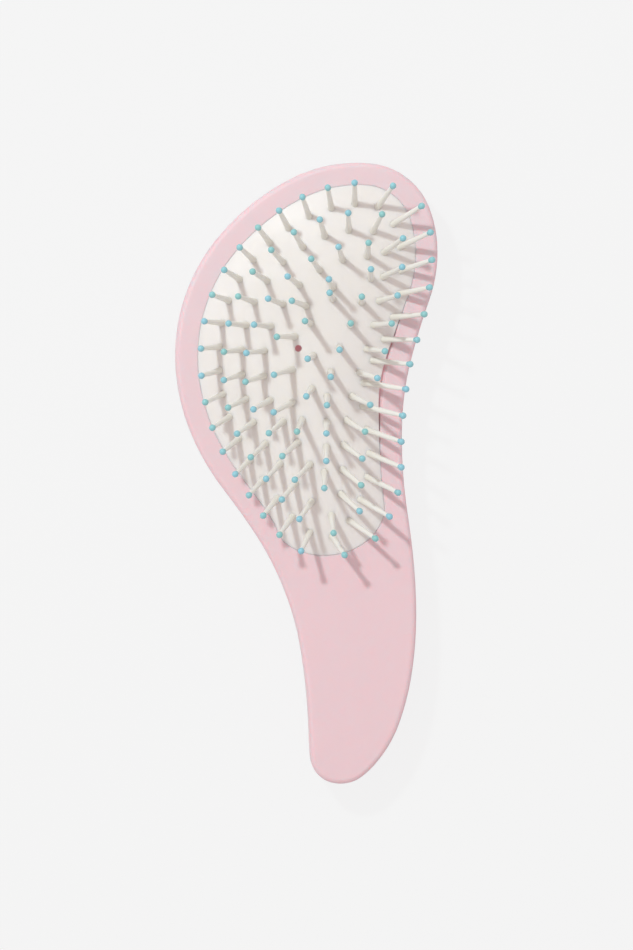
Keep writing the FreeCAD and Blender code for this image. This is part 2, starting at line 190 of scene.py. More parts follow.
def turned(profile: list[Pair], sides: int) -> Mesh:
    """Turn a closed mesh along +Z, ring by ring, from a disc.

    Args:
        profile: Heights and radii, lowest first.
        sides: Corners on each ring.

    Returns:
        The mesh.
    """
    height, radius = profile[0]
    bpy.ops.mesh.primitive_circle_add(vertices=sides, radius=radius, fill_type="NGON",
                                      location=(0, 0, height))
    piece = bpy.context.active_object
    bpy.ops.object.transform_apply(location=True)
    bpy.ops.object.mode_set(mode="EDIT")
    bpy.ops.mesh.select_all(action="SELECT")
    for next_height, next_radius in profile[1:]:
        move = {"value": (0, 0, next_height - height)}
        bpy.ops.mesh.extrude_region_move(TRANSFORM_OT_translate=move)
        share = next_radius / radius
        bpy.ops.transform.resize(value=(share, share, 1), center_override=(0, 0, next_height))
        height, radius = next_height, next_radius
    bpy.ops.mesh.select_all(action="SELECT")
    bpy.ops.mesh.normals_make_consistent(inside=False)
    bpy.ops.object.mode_set(mode="OBJECT")
    mesh = piece.data
    bpy.data.objects.remove(piece, do_unlink=True)
    return mesh


# ---- shader tools

class Wiring:
    """A node tree under construction, for a material or a node group."""

    def __init__(self, tree: NodeTree) -> None:
        """Start with an empty tree."""
        self.tree = tree
        tree.nodes.clear()

    def node(self, kind: str, inputs: dict[str | int, object] | None = None,
             **values: object) -> Node:
        """Add a node, set its properties and feed its inputs.

        Args:
            kind: The node's type, without the ShaderNode prefix.
            inputs: What goes into its inputs, by name or number.
            values: Properties of the node.

        Returns:
            The new node.
        """
        made = self.tree.nodes.new(kind if kind.startswith("Node") else "ShaderNode" + kind)
        for key, value in values.items():
            setattr(made, key, value)
        for key, value in (inputs or {}).items():
            self.feed(made.inputs[key], value)
        return made

    def feed(self, socket: NodeSocket, value: object) -> None:
        """Link an input to an output, or give it a plain value.

        Args:
            socket: The input.
            value: An output, a number or a colour.
        """
        if isinstance(value, NodeSocket):
            self.tree.links.new(value, socket)
        else:
            socket.default_value = value

    def math(self, operation: str, first: object, second: object = 0.0) -> NodeSocket:
        """Add a Math node.

        Args:
            operation: The operation's name.
            first: An output or a number.
            second: An output or a number.

        Returns:
            The node's output.
        """
        return self.node("Math", {0: first, 1: second}, operation=operation).outputs[0]

    def blend(self, share: object, low: object, high: object) -> NodeSocket:
        """Mix two colours.

        Args:
            share: An output or a number, 0 for the first colour and 1 for the second.
            low: The first colour, an output or four numbers.
            high: The second colour.

        Returns:
            The mixed colour.
        """
        return self.node("Mix", {0: share, 6: low, 7: high}, data_type="RGBA").outputs[2]

    def spread(self, value: NodeSocket, low: float, high: float,
               to_low: float = 0.0, to_high: float = 1.0) -> NodeSocket:
        """Map a value smoothly from one range to another.

        Args:
            value: The output to map.
            low: Where the mapping starts.
            high: Where it ends.
            to_low: The value given at the start.
            to_high: The value given at the end.

        Returns:
            The mapped value.
        """
        made = self.node("MapRange", {"Value": value, "From Min": low, "From Max": high,
                                      "To Min": to_low, "To Max": to_high},
                         interpolation_type="SMOOTHSTEP")
        return made.outputs["Result"]


def new_group(name: str, inputs: dict[str, float], outputs: list[str]) -> Wiring:
    """Make a shader node group with plain number inputs, a Vector input and number outputs.

    Args:
        name: The group's name.
        inputs: Each input's name and its default.
        outputs: The outputs' names.

    Returns:
        The group's wiring, with its ends in it.
    """
    tree = bpy.data.node_groups.new(name, "ShaderNodeTree")
    wiring = Wiring(tree)
    tree.interface.new_socket("Vector", in_out="INPUT", socket_type="NodeSocketVector")
    for key, value in inputs.items():
        socket = tree.interface.new_socket(key, in_out="INPUT", socket_type="NodeSocketFloat")
        socket.default_value = value
    for key in outputs:
        tree.interface.new_socket(key, in_out="OUTPUT", socket_type="NodeSocketFloat")
    wiring.start = wiring.node("NodeGroupInput")
    wiring.end = wiring.node("NodeGroupOutput")
    return wiring


def grain_group() -> NodeTree:
    """Make the group for a moulded surface: a fine grain over a slow unevenness.

    Returns:
        The group, with Height and Cloud outputs from 0 to 1.
    """
    wiring = new_group("moulded_grain", {"Grain": 4000.0, "Cloud": 60.0}, ["Height", "Cloud"])
    given = wiring.start.outputs
    fine, slow = (
        wiring.node("TexNoise", {"Vector": given["Vector"], "Scale": given[size],
                                 "Detail": detail}).outputs["Fac"]
        for size, detail in (("Grain", 3.0), ("Cloud", 2.0)))
    wiring.feed(wiring.end.inputs["Height"], fine)
    wiring.feed(wiring.end.inputs["Cloud"], wiring.spread(slow, 0.3, 0.7))
    return wiring.tree


def dust_group() -> NodeTree:
    """Make the group for handling marks: a few soft specks.

    Returns:
        The group, with a Specks output from 0 to 1.
    """
    wiring = new_group("handling_marks", {"Size": 500.0, "Share": 0.1}, ["Specks"])
    given = wiring.start.outputs
    cells = wiring.node("TexVoronoi", {"Vector": given["Vector"], "Scale": given["Size"]},
                        feature="F1")
    speck = wiring.math("LESS_THAN", cells.outputs["Distance"], given["Share"])
    wiring.feed(wiring.end.inputs["Specks"], speck)
    return wiring.tree


@dataclass
class SharedEffects:
    """The node groups that several finishes place."""

    grain: NodeTree = field(default_factory=grain_group)
    marks: NodeTree = field(default_factory=dust_group)


class Finish:
    """A material under construction, with one Principled shader."""

    def __init__(self, name: str) -> None:
        """Make the material, its shader, and its coordinates on the object.

        Args:
            name: The material's name.
        """
        self.material = bpy.data.materials.new(name)
        self.material.use_nodes = True
        self.wiring = Wiring(self.material.node_tree)
        self.shader = self.wiring.node("BsdfPrincipled")
        self.wiring.node("OutputMaterial", {"Surface": self.shader.outputs["BSDF"]})
        self.place = self.wiring.node("TexCoord").outputs["Object"]

    def effect(self, group: NodeTree, **values: float) -> Node:
        """Place a shared effect on the object's coordinates.

        Args:
            group: The node group.
            values: The group's inputs.

        Returns:
            The group node.
        """
        return self.wiring.node("Group", {"Vector": self.place, **values}, node_tree=group)

    def give(self, inputs: dict[str, object]) -> None:
        """Feed the shader's inputs, by name."""
        for key, value in inputs.items():
            self.wiring.feed(self.shader.inputs[key], value)

    def moulded(self, grain: Node, roughness: Pair, depth: float) -> None:
        """Give the surface its uneven roughness and its raised grain.

        Args:
            grain: The moulded grain placed on this finish.
            roughness: The least and the greatest roughness.
            depth: The grain's depth in metres.
        """
        raised = self.wiring.node("Bump", {"Strength": 1.0, "Distance": depth,
                                           "Height": grain.outputs["Height"]})
        self.give({"Roughness": self.wiring.spread(grain.outputs["Cloud"], 0.0, 1.0, *roughness),
                   "Normal": raised.outputs["Normal"]})

    def soak(self, weight: float, radius: tuple[float, float, float], scale: float) -> None:
        """Let light soak into the material.

        Args:
            weight: How much of the light soaks in.
            radius: How far red, green and blue go, as shares of the scale.
            scale: The depth in metres.
        """
        self.give({"Subsurface Weight": weight, "Subsurface Radius": radius,
                   "Subsurface Scale": scale})


# ---- finishes

@dataclass(frozen=True)
class SoftTouchPink:
    """Matte soft-touch plastic: pale pink, with painted shade of deeper pink where it turns down,
    red light soaks in.

    Where the shells carry the attribute "inside", a painted glow stands for the light that comes
    through them.
    """

    handle: Colour = (0.850, 0.640, 0.670, 1.0)
    head: Colour = (0.826, 0.652, 0.682, 1.0)
    # side: painted shade, a deeper pink where the surface turns down from the light; side_cloud
    # mixes random mottling into it
    side: Colour = (0.800, 0.585, 0.625, 1.0)
    # painted glow: an emission colour on corners marked "inside"
    painted_glow: Colour = (0.175, 0.078, 0.086, 1.0)
    roughness: Pair = (0.51, 0.60)
    head_begins: Pair = (-20 * MM, 60 * MM)
    side_cloud: float = 0.08

    def make(self, effects: SharedEffects) -> Material:
        """Build the material.

        Args:
            effects: The shared node groups.

        Returns:
            The material.
        """
        finish = Finish("soft_touch_pink")
        wiring = finish.wiring
        grain = finish.effect(effects.grain, Grain=2600.0, Cloud=45.0)
        along = wiring.node("SeparateXYZ", {"Vector": finish.place})
        toward_head = wiring.spread(along.outputs["Y"], *self.head_begins)
        face = wiring.blend(toward_head, self.handle, self.head)
        normal = wiring.node("NewGeometry").outputs["Normal"]
        up = wiring.node("SeparateXYZ", {"Vector": normal})
        # painted shade: faces that turn down take the deeper side colour
        painted_shade_share = wiring.spread(wiring.math("ABSOLUTE", up.outputs["Z"]), 1.0, 0.25)
        cloud = wiring.math("MULTIPLY", grain.outputs["Cloud"], self.side_cloud)
        colour = wiring.blend(wiring.math("ADD", painted_shade_share, cloud), face, self.side)
        # painted glow: the marked corners give off light that stands for light through the plastic
        inside = wiring.node("Attribute", attribute_name="inside")
        glow = wiring.blend(inside.outputs["Fac"], (0.0, 0.0, 0.0, 1.0), self.painted_glow)
        finish.give({"Base Color": colour, "Emission Color": glow, "Emission Strength": 1.0})
        finish.moulded(grain, self.roughness, 0.006 * MM)
        finish.soak(0.7, (1.0, 0.25, 0.28), 1.0 * MM)
        return finish.material


@dataclass(frozen=True)
class CushionRubber:
    """The membrane's warm white rubber, satin, with a faint moulded grain."""

    colour: Colour = (0.860, 0.832, 0.800, 1.0)
    shade: Colour = (0.835, 0.805, 0.762, 1.0)
    cloud_share: float = 0.5
    mark_share: float = 0.3

    def make(self, effects: SharedEffects) -> Material:
        """Build the material.

        Args:
            effects: The shared node groups.

        Returns:
            The material.
        """
        finish = Finish("cushion_rubber")
        wiring = finish.wiring
        grain = finish.effect(effects.grain, Grain=1500.0, Cloud=70.0)
        marks = finish.effect(effects.marks, Size=420.0, Share=0.05)
        cloud = wiring.math("MULTIPLY", grain.outputs["Cloud"], self.cloud_share)
        specks = wiring.math("MULTIPLY", marks.outputs["Specks"], self.mark_share)
        share = wiring.math("ADD", cloud, specks)
        finish.give({"Base Color": wiring.blend(share, self.colour, self.shade)})
        finish.moulded(grain, (0.44, 0.54), 0.008 * MM)
        finish.soak(0.8, (1.0, 0.95, 0.85), 1.8 * MM)
        return finish.material


@dataclass(frozen=True)
class PinNylon:
    """The pins' off-white nylon: a little shiny, warmer toward the foot."""

    colour: Colour = (0.870, 0.850, 0.800, 1.0)
    foot: Colour = (0.800, 0.770, 0.700, 1.0)

    def make(self, effects: SharedEffects) -> Material:
        """Build the material.

        Args:
            effects: The shared node groups.

        Returns:
            The material.
        """
        finish = Finish("pin_nylon")
        wiring = finish.wiring
        grain = finish.effect(effects.grain, Grain=3000.0, Cloud=300.0)
        along = wiring.node("Attribute", attribute_name="along")
        share = wiring.spread(along.outputs["Fac"], 0.5, 0.0)
        finish.give({"Base Color": wiring.blend(share, self.colour, self.foot)})
        finish.moulded(grain, (0.28, 0.36), 0.002 * MM)
        finish.soak(0.15, (1.0, 0.9, 0.7), 0.6 * MM)
        return finish.material


@dataclass(frozen=True)
class TipGloss:
    """The ball tips' glossy turquoise, from sky blue to sea green from tip to tip."""

    blue: Colour = (0.290, 0.600, 0.712, 1.0)
    green: Colour = (0.285, 0.600, 0.588, 1.0)

    def make(self, effects: SharedEffects) -> Material:
        """Build the material.

        Args:
            effects: The shared node groups.

        Returns:
            The material.
        """
        finish = Finish("tip_gloss")
        wiring = finish.wiring
        grain = finish.effect(effects.grain, Grain=2500.0, Cloud=250.0)
        tint = wiring.node("Attribute", attribute_name="tint")
        colour = wiring.blend(tint.outputs["Fac"], self.blue, self.green)
        finish.give({"Base Color": colour})
        finish.moulded(grain, (0.20, 0.30), 0.002 * MM)
        return finish.material


@dataclass(frozen=True)
class PaleTable:
    """The table: near white, with what the camera sees of it lit evenly."""

    colour: Colour = (0.860, 0.860, 0.860, 1.0)
    seen: Colour = (0.913, 0.913, 0.913, 1.0)
    roughness: float = 0.8
    even_share: float = 0.92

    def make(self) -> Material:
        """Build the material.

        Returns:
            The material.
        """
        material = bpy.data.materials.new("pale_table")
        material.use_nodes = True
        wiring = Wiring(material.node_tree)
        plain = wiring.node("BsdfPrincipled", {"Base Color": self.colour,
                                               "Roughness": self.roughness})
        glow = wiring.node("Emission", {"Color": self.seen})
        rays = wiring.node("LightPath").outputs
        seen = wiring.math("MAXIMUM", rays["Is Camera Ray"], rays["Is Glossy Ray"])
        seen = wiring.math("MAXIMUM", seen, rays["Is Transmission Ray"])
        mix = wiring.node("MixShader", {0: wiring.math("MULTIPLY", seen, self.even_share),
                                        1: plain.outputs["BSDF"], 2: glow.outputs["Emission"]})
        wiring.node("OutputMaterial", {"Surface": mix.outputs["Shader"]})
        return material


# ---- shells

@dataclass
class Shell:
    """A half of the hollow body, with its parting edge broken by a fine groove."""

    node: str
    parting_height: float
    groove: float = 0.22 * MM
    flat_degrees: float = 0.4
    smooth_degrees: float = 46.0
    smallest_edge: float = 0.003 * MM
    outward_step: float = 0.1 * MM
    outward_reach: float = 6 * MM
    outward_cone: float = 0.94

    def build(self) -> Object:
        """Make the shell with round shading and its parting groove.

        Returns:
            The finished shell.
        """
        piece = merged_copy(self.node, self.node + "_finished")
        bpy.ops.object.mode_set(mode="EDIT")
        bpy.ops.mesh.select_all(action="SELECT")
        bpy.ops.mesh.dissolve_limited(angle_limit=math.radians(self.flat_degrees))
        self.select_parting_edge(piece)
        bpy.ops.mesh.bevel(offset=self.groove, segments=2, affect="EDGES")
        bpy.ops.mesh.select_all(action="SELECT")
        bpy.ops.mesh.remove_doubles(threshold=self.smallest_edge)
        self.shape(piece)
        bpy.ops.object.mode_set(mode="OBJECT")
        self.mark(piece)
        finish_smooth(piece, self.smooth_degrees)
        return piece

    def shape(self, piece: Object) -> None:
        """Give the shell what is its own, in edit mode."""

    def mark(self, piece: Object) -> None:
        """Give the shell's corners the attributes that its finish reads."""

    def select_parting_edge(self, piece: Object) -> None:
        """Select the outer edge where this shell meets the other one.

        Args:
            piece: The shell, in edit mode.
        """
        bpy.ops.mesh.select_all(action="DESELECT")
        mesh = bmesh.from_edit_mesh(piece.data)
        for edge in mesh.edges:
            if all(abs(corner.co.z - self.parting_height) < SAME_LEVEL for corner in edge.verts):
                walls = [face for face in edge.link_faces if abs(face.normal.z) < 0.1]
                middle = (edge.verts[0].co + edge.verts[1].co) * 0.5
                if walls and self.faces_outside(mesh, walls[0], middle):
                    edge.select = True
        mesh.select_flush_mode()
        bmesh.update_edit_mesh(piece.data)

    def faces_outside(self, mesh: BMesh, face: BMFace, middle: Vector) -> bool:
        """Tell whether a wall is part of the outside of the body.

        Args:
            mesh: The shell.
            face: The wall.
            middle: A point on the wall's edge.

        Returns:
            True when nothing of the shell lies beyond the wall.
        """
        away = Vector((face.normal.x, face.normal.y, 0)).normalized()
        start = middle + away * self.outward_step
        start.z = self.parting_height
        return not any(abs(corner.co.z - self.parting_height) < SAME_LEVEL
                       and (corner.co - start).length < self.outward_reach
                       and (corner.co - start).normalized().dot(away) > self.outward_cone
                       for corner in mesh.verts)


@dataclass
class FrontShell(Shell):
    """The front: flat, with a tight outer round, and a shallow bevel round the opening."""

    cad_round: float = 4.5 * MM
    tight_round: float = 1.5 * MM
    round_slack: float = 0.4 * MM
    longest_edge: float = 3.0 * MM
    cad_bevel: float = 0.5 * MM
    bevel_depth: float = 0.28 * MM
    bevel_search: float = 1 * MM
    wall_slope: float = 1.2 * MM
    sloped: dict[int, float] = field(default_factory=dict)

    def shape(self, piece: Object) -> None:
        """Tighten the outer round, slope the opening's wall and make its bevel shallow.

        Args:
            piece: The shell, in edit mode.
        """
        mesh = bmesh.from_edit_mesh(piece.data)
        self.top = max(corner.co.z for corner in mesh.verts)
        self.tighten(mesh)
        bevel = self.bevel_corners(mesh)
        self.slope_wall(mesh, bevel)
        for corner in bevel:
            if abs(corner.co.z - self.top) > SAME_LEVEL:
                corner.co.z += self.cad_bevel - self.bevel_depth
        mesh.normal_update()
        bmesh.update_edit_mesh(piece.data)

    def mark(self, piece: Object) -> None:
        """Mark the low end of the sloped wall, which gets a painted glow for light that comes
        through the plastic.

        Args:
            piece: The shell.
        """
        numbers = range(len(piece.data.vertices))
        write_numbers(piece.data, "inside", [self.sloped.get(number, 0.0) for number in numbers])

    def bevel_corners(self, mesh: BMesh) -> list[BMVert]:
        """Find the corners of the bevel that runs round the opening.

        Args:
            mesh: The shell.

        Returns:
            The corners, each once.
        """
        faces = [face for face in mesh.faces if abs(face.normal.z - math.sqrt(0.5)) < 0.03
                 and abs(max(corner.co.z for corner in face.verts) - self.top) < SAME_LEVEL
                 and min(corner.co.z for corner in face.verts) > self.top - self.bevel_search]
        return list(dict.fromkeys(corner for face in faces for corner in face.verts))

    def tighten(self, mesh: BMesh) -> None:
        """Turn the wide outer round into a tight one that starts from the same outline.

        Args:
            mesh: The shell.
        """
        start = self.top - self.cad_round
        sides = [(edge.verts[0].co.xy, edge.verts[1].co.xy) for edge in mesh.edges
                 if all(abs(corner.co.z - start) < SAME_LEVEL for corner in edge.verts)]
        self.cut_long_edges(mesh, sides)
        moves = []
        for corner in mesh.verts:
            climb = (corner.co.z - start) / self.cad_round
            if climb < -0.001:
                continue
            turn = math.asin(min(max(climb, 0.0), 1.0))
            near = nearest_on(sides, corner.co.xy)
            inward = corner.co.xy - near
            if inward.length > self.cad_round * (1 - math.cos(turn)) + self.round_slack:
                continue
            place = near + inward.normalized() * self.tight_round * (1 - math.cos(turn))
            height = self.top - self.tight_round * (1 - math.sin(turn))
            moves.append((corner, Vector((place.x, place.y, height))))
        for corner, place in moves:
            corner.co = place

    def cut_long_edges(self, mesh: BMesh, sides: list[tuple[Vector, Vector]]) -> None:
        """Cut up the long straight edges at which the outer round meets the face.

        Args:
            mesh: The shell.
            sides: The outline's sides.
        """
        reach = self.cad_round + self.round_slack
        for edge in list(mesh.edges):
            if any(abs(corner.co.z - self.top) > SAME_LEVEL
                   or (corner.co.xy - nearest_on(sides, corner.co.xy)).length > reach
                   for corner in edge.verts):
                continue
            cuts = int(edge.calc_length() / self.longest_edge)
            if cuts:
                bmesh.ops.subdivide_edges(mesh, edges=[edge], cuts=cuts)

    def slope_wall(self, mesh: BMesh, bevel: list[BMVert]) -> None:
        """Let the opening's wall slope in under the face on the head's hollow side.

        Args:
            mesh: The shell.
            bevel: The corners of the opening's bevel.
        """
        beside = (edge.other_vert(corner) for corner in bevel for edge in corner.link_edges)
        low = dict.fromkeys(corner for corner in beside
                            if corner.co.z < self.top - self.bevel_search)
        mesh.verts.index_update()
        for corner in low:
            share = HOLLOW_SIDE.share(corner.co)
            corner.co.x -= self.wall_slope * share
            # this share also sets the painted glow on the sloped wall
            self.sloped[corner.index] = share


@dataclass
class BackShell(Shell):
    """The back, whose inside shows a little through the vent."""

    floor_slack: float = 0.02 * MM

    def mark(self, piece: Object) -> None:
        """Mark the floor inside, which gets a painted glow for the light that comes through the
        membrane.

        Args:
            piece: The shell.
        """
        inner = [face for face in piece.data.polygons
                 if face.normal.z > 0.99 and face.center.z < self.parting_height * 0.5]
        floor = max(inner, key=lambda face: face.area).center.z
        write_numbers(piece.data, "inside", [float(abs(corner.co.z - floor) < self.floor_slack)
                                             for corner in piece.data.vertices])


def nearest_on(sides: list[tuple[Vector, Vector]], place: Vector) -> Vector:
    """Find the place on a flat outline that is nearest to another place.

    Args:
        sides: The outline's sides, each from one corner to the next.
        place: The place to measure from.

    Returns:
        The nearest place on the outline.
    """
    nearest = []
    for start, end in sides:
        along = end - start
        share = min(max((place - start).dot(along) / along.dot(along), 0.0), 1.0)
        nearest.append(start + along * share)
    return min(nearest, key=lambda near: (near - place).length)


# ---- cushion

@dataclass
class Cushion:
    """The air cushion's membrane: clamped flange, drawn-in sides, round shoulder and crown."""

    corners: int = 260
    rings: int = 30
    edge_gap: float = 0.02 * MM
    edge_sink: float = 0.03 * MM
    thickness: float = 1.3 * MM
    shoulder: float = 0.25 * MM
    flange_width: float = 2.3 * MM
    hollow_gap: float = 1.1 * MM
    shoulder_rings: int = 7
    shoulder_degrees: float = 80.0
    ledge_gap: float = 0.05 * MM
    crown_share: float = 0.88
    crown_reach: float = 27 * MM
    first_rings: Pair = (0.90, 0.86)
    last_ring: float = 0.02
    inner_climb: float = 0.08
    crown_line: tuple[Pair, Pair] = ((0.09, 0.20), (-0.01, -0.07))
    vent_share: Pair = (-0.04, 0.06)
    vent_radius: float = 1.0 * MM
    vent_sides: int = 28
    vent_depth: float = 8 * MM
    ripple_place: Pair = (16.5 * MM, -13.5 * MM)
    ripple_reach: float = 8.5 * MM
    ripple_height: float = 0.10 * MM
    ripple_size: float = 1.9 * MM
    ripple_stretch: Pair = (1.6, 0.8)
    ripple_layer: float = 5 * MM
    unevenness: float = 0.10 * MM
    uneven_size: float = 14 * MM
    smooth_degrees: float = 40.0

    def read_frame(self) -> None:
        """Take the opening's edge, the face's height and the crown's summit from the frame."""
        self.flange_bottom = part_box("cushion")[0][2]
        self.edge_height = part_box("front_shell")[1][2] - self.edge_sink
        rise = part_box("cushion")[1][2] - self.edge_height
        self.summit = self.edge_height + rise * self.crown_share
        self.opening, self.ledge = opening_edge(self.corners, self.flange_bottom)
        across, along = zip(*self.opening)
        self.low = Vector((min(across), min(along)))
        self.high = Vector((max(across), max(along)))
        self.line = [self.on_box(share) for share in self.crown_line]

    def on_box(self, share: Pair) -> Vector:
        """Find a place at a share of the opening's box, measured from its middle."""
        middle = (self.low + self.high) * 0.5
        return Vector((middle.x + share[0] * (self.high.x - self.low.x),
                       middle.y + share[1] * (self.high.y - self.low.y)))

    def offset(self, distance: float, follow_hollow: bool = True) -> list[Vector]:
        """Move the opening's edge inwards.

        Args:
            distance: How far, or outwards if it is negative.
            follow_hollow: Whether the edge draws back further on the hollow side.

        Returns:
            The moved corners.
        """
        moved = []
        count = len(self.opening)
        for number, point in enumerate(self.opening):
            along = self.opening[(number + 1) % count] - self.opening[number - 1]
            inward = Vector((-along.y, along.x)).normalized()
            extra = self.hollow_gap * HOLLOW_SIDE.share(point) if follow_hollow else 0.0
            moved.append(point + inward * (distance + extra))
        return moved

    def drawn_in(self, edge: list[Vector], share: float) -> list[Vector]:
        """Draw an edge in to a share of its distance from the line under the crown.

        Args:
            edge: The corners of the edge.
            share: 1 at the edge, 0 on the line.

        Returns:
            The drawn-in corners.
        """
        start, end = self.line
        along = end - start
        drawn = []
        for point in edge:
            place = (point - start).dot(along) / along.dot(along)
            root = start + along * min(max(place, 0.0), 1.0)
            drawn.append(root + (point - root) * share)
        return drawn

    def level(self, corners: list[Vector], height: float) -> list[Vector]:
        """Lift flat corners to a height."""
        return [Vector((corner.x, corner.y, height)) for corner in corners]

    def crown(self, edge: list[Vector], height: float, first: float) -> list[list[Vector]]:
        """Make the rings of the crown, from near the edge up to its summit.

        Args:
            edge: The corners that the rings are drawn in from.
            height: The height of the edge.
            first: The share of the first ring.

        Returns:
            The rings.
        """
        rise = self.summit - self.edge_height
        rings = []
        for number in range(self.rings):
            share = first * (1 - number / self.rings) + self.last_ring * number / self.rings
            ring = self.level(self.drawn_in(edge, share), height + rise * (1 - share ** 2))
            rings.append([self.uneven(corner, 1 - share ** 6) for corner in ring])
        return rings

    def uneven(self, corner: Vector, share: float) -> Vector:
        """Give a point of the membrane the slack and the small ripples of thin rubber.

        Args:
            corner: The point.
            share: How free the membrane is there, 0 at its edge.

        Returns:
            The moved point.
        """
        slow = noise.noise(Vector((corner.x, corner.y, 0)) / self.uneven_size)
        away = (corner.xy - Vector(self.ripple_place)).length
        across, along = self.ripple_stretch
        place = Vector((corner.x * across, corner.y * along, self.ripple_layer))
        fold = noise.noise(place / self.ripple_size)
        lift = slow * self.unevenness
        lift += fold * self.ripple_height * math.exp(-(away / self.ripple_reach) ** 2)
        return corner + Vector((0, 0, lift * share))

    def build(self) -> Object:
        """Make the membrane as one closed skin, then pierce the vent.

        Returns:
            The finished cushion.
        """
        self.read_frame()
        edge = self.offset(self.edge_gap)
        rise = self.summit - self.edge_height
        climb = self.shoulder + rise * (1 - (1 - self.shoulder / self.crown_reach) ** 2)
        outer = []
        for number in range(self.shoulder_rings):
            turn = math.radians(self.shoulder_degrees) * number / (self.shoulder_rings - 1)
            ring = self.offset(self.edge_gap + self.shoulder * (1 - math.cos(turn)))
            height = self.edge_height - self.shoulder + climb * math.sin(turn)
            outer.append(self.level(ring, height))
        outer += self.crown(edge, self.edge_height, self.first_rings[0])
        inside = self.offset(self.edge_gap + self.thickness)
        below = self.edge_height - self.thickness
        inner = self.crown(edge, below, self.first_rings[1])
        flange = self.offset(-self.flange_width, False)
        ledge = self.ledge - self.ledge_gap
        rings = outer[::-1]
        rings += [self.level(edge, ledge), self.level(flange, ledge)]
        rings += [self.level(flange, self.flange_bottom), self.level(inside, self.flange_bottom)]
        rings += [self.level(inside, below + rise * self.inner_climb)] + inner
        piece = self.skin(rings)
        self.pierce(piece)
        finish_smooth(piece, self.smooth_degrees)
        return piece

    def skin(self, rings: list[list[Vector]]) -> Object:
        """Close a chain of rings into a skin.

        Args:
            rings: Rings with the same number of corners.

        Returns:
            The new object.
        """
        mesh = bmesh.new()
        rows = [[mesh.verts.new(corner) for corner in ring] for ring in rings]
        for row, after in zip(rows, rows[1:]):
            for number in range(len(row)):
                beside = (number + 1) % len(row)
                mesh.faces.new((row[number], row[beside], after[beside], after[number]))
        mesh.faces.new(rows[0])
        mesh.faces.new(rows[-1])
        bmesh.ops.recalc_face_normals(mesh, faces=mesh.faces)
        data = bpy.data.meshes.new("cushion_membrane")
        mesh.to_mesh(data)
        mesh.free()
        return add_object("cushion_membrane", data)

    def pierce(self, piece: Object) -> None:
        """Cut the vent through the membrane.

        Args:
            piece: The membrane.
        """
        place = self.on_box(self.vent_share)
        bpy.ops.mesh.primitive_cylinder_add(
            vertices=self.vent_sides, radius=self.vent_radius, depth=self.vent_depth,
            location=(place.x, place.y, self.summit - 1 * MM))
        punch = bpy.context.active_object
        use_only(piece)
        cut = piece.modifiers.new("vent", "BOOLEAN")
        cut.object = punch
        cut.operation = "DIFFERENCE"
        cut.solver = "EXACT"
        bpy.ops.object.modifier_apply(modifier=cut.name)
        bpy.data.objects.remove(punch, do_unlink=True)


def opening_edge(corners: int, flange_bottom: float) -> tuple[list[Vector], float]:
    """Read the head opening's edge from the front shell.

    Args:
        corners: How many equally spaced corners to give.
        flange_bottom: A height under the ledge that the opening's wall starts from.

    Returns:
        The corners, counterclockwise, and the height of the ledge under the face.
    """
    mesh = read_node("front_shell")
    walls = [face for face in mesh.faces if abs(face.normal.z) < 0.02
             and min(corner.co.z for corner in face.verts) > flange_bottom]
    ledge = min(corner.co.z for face in walls for corner in face.verts)
    links = {}
    for face in walls:
        for edge in face.edges:
            if all(abs(corner.co.z - ledge) < SAME_LEVEL for corner in edge.verts):
                first, second = edge.verts
                links.setdefault(first, []).append(second)
                links.setdefault(second, []).append(first)
    start = next(iter(links))
    loop = [start, links[start][0]]
    while loop[-1] is not start:
        loop.append([corner for corner in links[loop[-1]] if corner is not loop[-2]][0])
    points = [corner.co.xy for corner in loop]
    mesh.free()
    turn = sum(near.x * far.y - far.x * near.y for near, far in zip(points, points[1:]))
    if turn < 0:
        points.reverse()
    return spaced(points, corners), ledge


def spaced(points: list[Vector], count: int) -> list[Vector]:
    """Space corners equally along a closed line.

    Args:
        points: The line, whose last point is its first.
        count: How many corners to give.

    Returns:
        The corners.
    """
    lengths = [0.0]
    for near, far in zip(points, points[1:]):
        lengths.append(lengths[-1] + (far - near).length)
    made = []
    stretch = 0
    for number in range(count):
        along = lengths[-1] * number / count
        while lengths[stretch + 1] < along:
            stretch += 1
        share = (along - lengths[stretch]) / (lengths[stretch + 1] - lengths[stretch])
        made.append(points[stretch].lerp(points[stretch + 1], share))
    return made


# ---- pins and tips

@dataclass
class Station:
    """Where a pin stands: its flared head's underside, its end, and its direction."""

    head: Vector
    end: Vector

    @property
    def direction(self) -> Vector:
        """The way the pin points."""
        return (self.end - self.head).normalized()


